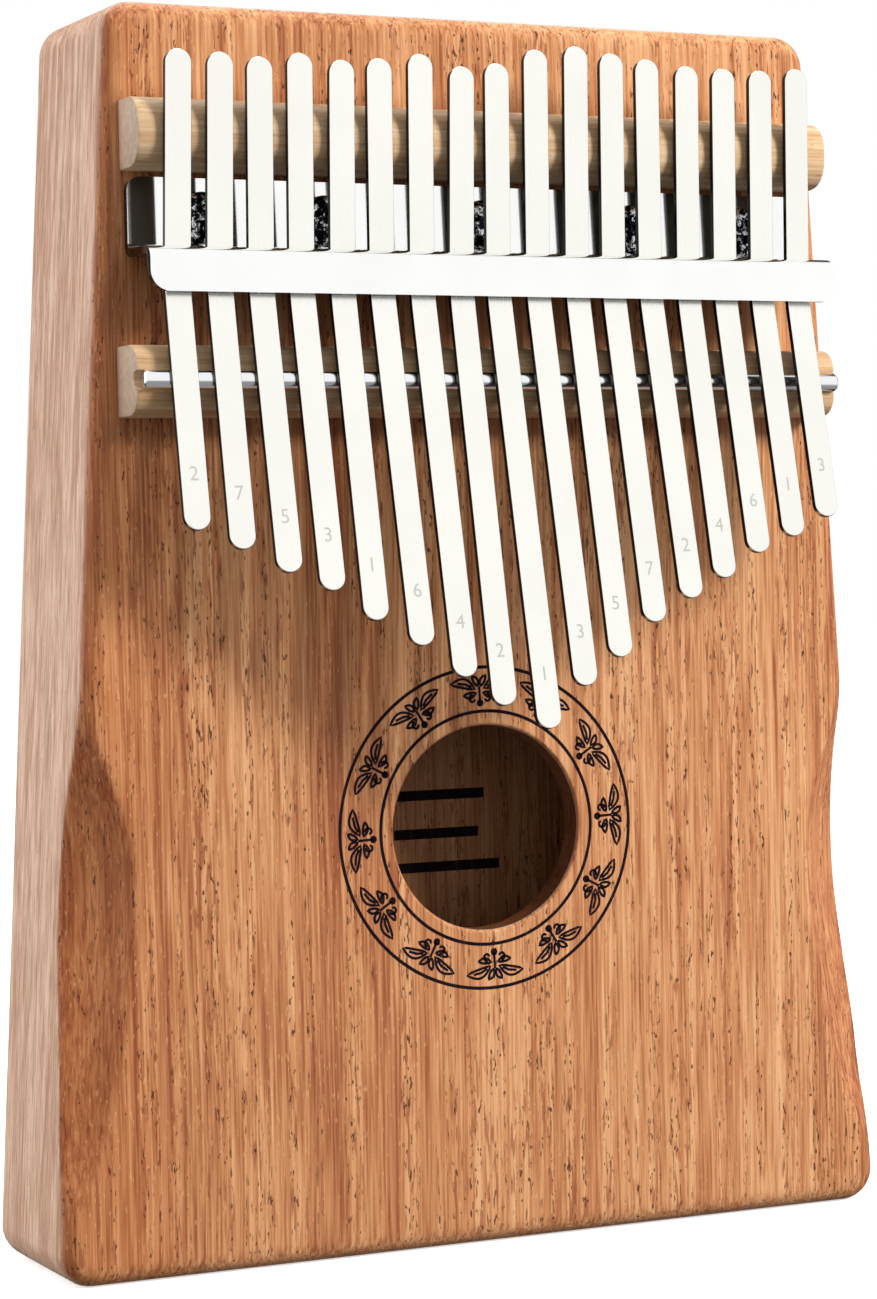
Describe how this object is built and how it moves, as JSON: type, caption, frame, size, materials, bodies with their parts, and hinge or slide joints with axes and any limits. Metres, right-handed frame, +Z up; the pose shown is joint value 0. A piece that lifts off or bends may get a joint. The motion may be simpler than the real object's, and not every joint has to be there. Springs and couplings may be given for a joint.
{
  "type": "thumb piano",
  "caption": "Wooden thumb piano: tapered soundbox with round sound hole and thumb scoops, two wood bridges, a bent metal clamp and a row of sprung steel tines.",
  "frame": {"origin": "centre of the flat bottom face that the instrument stands on", "axes": "+Z up the body towards the clamped tine ends, +X to the right seen from the front, and the front face with the tines looks along -Y"},
  "size_m": [0.1374, 0.0507, 0.185],
  "materials": {
    "mahogany": "satin with open pores",
    "back_wood": "satin",
    "bridge_wood": "satin",
    "bracket_chrome": "polished",
    "rod_steel": "ground",
    "tine_steel": "fine brushed",
    "screw_steel": "dark plated"
  },
  "bodies": {
    "instrument": {"soundbox": "mahogany", "back_panel": "back_wood", "upper_bridge": "bridge_wood", "lower_bridge": "bridge_wood", "bridge_rod": "rod_steel", "clamp_bracket": "bracket_chrome", "clamp_screw_1": "screw_steel", "clamp_screw_2": "screw_steel", "clamp_screw_3": "screw_steel", "clamp_screw_4": "screw_steel", "clamp_screw_5": "screw_steel"},
    "tail_01": {"tine_01_tail": "tine_steel"},
    "tail_02": {"tine_02_tail": "tine_steel"},
    "tail_03": {"tine_03_tail": "tine_steel"},
    "tail_04": {"tine_04_tail": "tine_steel"},
    "tail_05": {"tine_05_tail": "tine_steel"},
    "tail_06": {"tine_06_tail": "tine_steel"},
    "tail_07": {"tine_07_tail": "tine_steel"},
    "tail_08": {"tine_08_tail": "tine_steel"},
    "tail_09": {"tine_09_tail": "tine_steel"},
    "tail_10": {"tine_10_tail": "tine_steel"},
    "tail_11": {"tine_11_tail": "tine_steel"},
    "tail_12": {"tine_12_tail": "tine_steel"},
    "tail_13": {"tine_13_tail": "tine_steel"},
    "tail_14": {"tine_14_tail": "tine_steel"},
    "tail_15": {"tine_15_tail": "tine_steel"},
    "tail_16": {"tine_16_tail": "tine_steel"},
    "tail_17": {"tine_17_tail": "tine_steel"},
    "tongue_01": {"tine_01_tongue": "tine_steel"},
    "tongue_02": {"tine_02_tongue": "tine_steel"},
    "tongue_03": {"tine_03_tongue": "tine_steel"},
    "tongue_04": {"tine_04_tongue": "tine_steel"},
    "tongue_05": {"tine_05_tongue": "tine_steel"},
    "tongue_06": {"tine_06_tongue": "tine_steel"},
    "tongue_07": {"tine_07_tongue": "tine_steel"},
    "tongue_08": {"tine_08_tongue": "tine_steel"},
    "tongue_09": {"tine_09_tongue": "tine_steel"},
    "tongue_10": {"tine_10_tongue": "tine_steel"},
    "tongue_11": {"tine_11_tongue": "tine_steel"},
    "tongue_12": {"tine_12_tongue": "tine_steel"},
    "tongue_13": {"tine_13_tongue": "tine_steel"},
    "tongue_14": {"tine_14_tongue": "tine_steel"},
    "tongue_15": {"tine_15_tongue": "tine_steel"},
    "tongue_16": {"tine_16_tongue": "tine_steel"},
    "tongue_17": {"tine_17_tongue": "tine_steel"}
  },
  "joints": [
    {"name": "tine_01_tune", "type": "slide", "parent": "instrument", "child": "tail_01", "axis": [0, -0.0724, -0.9974], "range_m": [-0.0015, 0.0015]},
    {"name": "tine_01_pluck", "type": "hinge", "parent": "tail_01", "child": "tongue_01", "pos_m": [-0.05146, -0.0254, 0.1301], "axis": [1, 0, 0], "range_deg": [-2.5, 4], "stiffness_Nm_per_rad": 9.2},
    {"name": "tine_02_tune", "type": "slide", "parent": "instrument", "child": "tail_02", "axis": [0, -0.0724, -0.9974], "range_m": [-0.0015, 0.0015]},
    {"name": "tine_02_pluck", "type": "hinge", "parent": "tail_02", "child": "tongue_02", "pos_m": [-0.04494, -0.0254, 0.1301], "axis": [1, 0, 0], "range_deg": [-2.5, 4], "stiffness_Nm_per_rad": 8.1},
    {"name": "tine_03_tune", "type": "slide", "parent": "instrument", "child": "tail_03", "axis": [0, -0.0724, -0.9974], "range_m": [-0.0015, 0.0015]},
    {"name": "tine_03_pluck", "type": "hinge", "parent": "tail_03", "child": "tongue_03", "pos_m": [-0.03842, -0.0254, 0.1301], "axis": [1, 0, 0], "range_deg": [-2.5, 4], "stiffness_Nm_per_rad": 7.1},
    {"name": "tine_04_tune", "type": "slide", "parent": "instrument", "child": "tail_04", "axis": [0, -0.0724, -0.9974], "range_m": [-0.0015, 0.0015]},
    {"name": "tine_04_pluck", "type": "hinge", "parent": "tail_04", "child": "tongue_04", "pos_m": [-0.0321, -0.0254, 0.1301], "axis": [1, 0, 0], "range_deg": [-2.5, 4], "stiffness_Nm_per_rad": 6.5},
    {"name": "tine_05_tune", "type": "slide", "parent": "instrument", "child": "tail_05", "axis": [0, -0.0724, -0.9974], "range_m": [-0.0015, 0.0015]},
    {"name": "tine_05_pluck", "type": "hinge", "parent": "tail_05", "child": "tongue_05", "pos_m": [-0.02568, -0.0254, 0.1301], "axis": [1, 0, 0], "range_deg": [-2.5, 4], "stiffness_Nm_per_rad": 5.7},
    {"name": "tine_06_tune", "type": "slide", "parent": "instrument", "child": "tail_06", "axis": [0, -0.0724, -0.9974], "range_m": [-0.0015, 0.0015]},
    {"name": "tine_06_pluck", "type": "hinge", "parent": "tail_06", "child": "tongue_06", "pos_m": [-0.01926, -0.0254, 0.1301], "axis": [1, 0, 0], "range_deg": [-2.5, 4], "stiffness_Nm_per_rad": 5.1},
    {"name": "tine_07_tune", "type": "slide", "parent": "instrument", "child": "tail_07", "axis": [0, -0.0724, -0.9974], "range_m": [-0.0015, 0.0015]},
    {"name": "tine_07_pluck", "type": "hinge", "parent": "tail_07", "child": "tongue_07", "pos_m": [-0.01284, -0.0254, 0.1301], "axis": [1, 0, 0], "range_deg": [-2.5, 4], "stiffness_Nm_per_rad": 4.5},
    {"name": "tine_08_tune", "type": "slide", "parent": "instrument", "child": "tail_08", "axis": [0, -0.0724, -0.9974], "range_m": [-0.0015, 0.0015]},
    {"name": "tine_08_pluck", "type": "hinge", "parent": "tail_08", "child": "tongue_08", "pos_m": [-0.00657, -0.0254, 0.1301], "axis": [1, 0, 0], "range_deg": [-2.5, 4], "stiffness_Nm_per_rad": 4.1},
    {"name": "tine_09_tune", "type": "slide", "parent": "instrument", "child": "tail_09", "axis": [0, -0.0724, -0.9974], "range_m": [-0.0015, 0.0015]},
    {"name": "tine_09_pluck", "type": "hinge", "parent": "tail_09", "child": "tongue_09", "pos_m": [-0.0003, -0.0254, 0.1301], "axis": [1, 0, 0], "range_deg": [-2.5, 4], "stiffness_Nm_per_rad": 3.8},
    {"name": "tine_10_tune", "type": "slide", "parent": "instrument", "child": "tail_10", "axis": [0, -0.0724, -0.9974], "range_m": [-0.0015, 0.0015]},
    {"name": "tine_10_pluck", "type": "hinge", "parent": "tail_10", "child": "tongue_10", "pos_m": [0.00632, -0.0254, 0.1301], "axis": [1, 0, 0], "range_deg": [-2.5, 4], "stiffness_Nm_per_rad": 4.4},
    {"name": "tine_11_tune", "type": "slide", "parent": "instrument", "child": "tail_11", "axis": [0, -0.0724, -0.9974], "range_m": [-0.0015, 0.0015]},
    {"name": "tine_11_pluck", "type": "hinge", "parent": "tail_11", "child": "tongue_11", "pos_m": [0.01289, -0.0254, 0.1301], "axis": [1, 0, 0], "range_deg": [-2.5, 4], "stiffness_Nm_per_rad": 4.8},
    {"name": "tine_12_tune", "type": "slide", "parent": "instrument", "child": "tail_12", "axis": [0, -0.0724, -0.9974], "range_m": [-0.0015, 0.0015]},
    {"name": "tine_12_pluck", "type": "hinge", "parent": "tail_12", "child": "tongue_12", "pos_m": [0.01916, -0.0254, 0.1301], "axis": [1, 0, 0], "range_deg": [-2.5, 4], "stiffness_Nm_per_rad": 5.4},
    {"name": "tine_13_tune", "type": "slide", "parent": "instrument", "child": "tail_13", "axis": [0, -0.0724, -0.9974], "range_m": [-0.0015, 0.0015]},
    {"name": "tine_13_pluck", "type": "hinge", "parent": "tail_13", "child": "tongue_13", "pos_m": [0.02563, -0.0254, 0.1301], "axis": [1, 0, 0], "range_deg": [-2.5, 4], "stiffness_Nm_per_rad": 6},
    {"name": "tine_14_tune", "type": "slide", "parent": "instrument", "child": "tail_14", "axis": [0, -0.0724, -0.9974], "range_m": [-0.0015, 0.0015]},
    {"name": "tine_14_pluck", "type": "hinge", "parent": "tail_14", "child": "tongue_14", "pos_m": [0.0321, -0.0254, 0.1301], "axis": [1, 0, 0], "range_deg": [-2.5, 4], "stiffness_Nm_per_rad": 6.6},
    {"name": "tine_15_tune", "type": "slide", "parent": "instrument", "child": "tail_15", "axis": [0, -0.0724, -0.9974], "range_m": [-0.0015, 0.0015]},
    {"name": "tine_15_pluck", "type": "hinge", "parent": "tail_15", "child": "tongue_15", "pos_m": [0.03857, -0.0254, 0.1301], "axis": [1, 0, 0], "range_deg": [-2.5, 4], "stiffness_Nm_per_rad": 7.5},
    {"name": "tine_16_tune", "type": "slide", "parent": "instrument", "child": "tail_16", "axis": [0, -0.0724, -0.9974], "range_m": [-0.0015, 0.0015]},
    {"name": "tine_16_pluck", "type": "hinge", "parent": "tail_16", "child": "tongue_16", "pos_m": [0.04509, -0.0254, 0.1301], "axis": [1, 0, 0], "range_deg": [-2.5, 4], "stiffness_Nm_per_rad": 8.3},
    {"name": "tine_17_tune", "type": "slide", "parent": "instrument", "child": "tail_17", "axis": [0, -0.0724, -0.9974], "range_m": [-0.0015, 0.0015]},
    {"name": "tine_17_pluck", "type": "hinge", "parent": "tail_17", "child": "tongue_17", "pos_m": [0.05151, -0.0254, 0.1301], "axis": [1, 0, 0], "range_deg": [-2.5, 4], "stiffness_Nm_per_rad": 9.4}
  ]
}
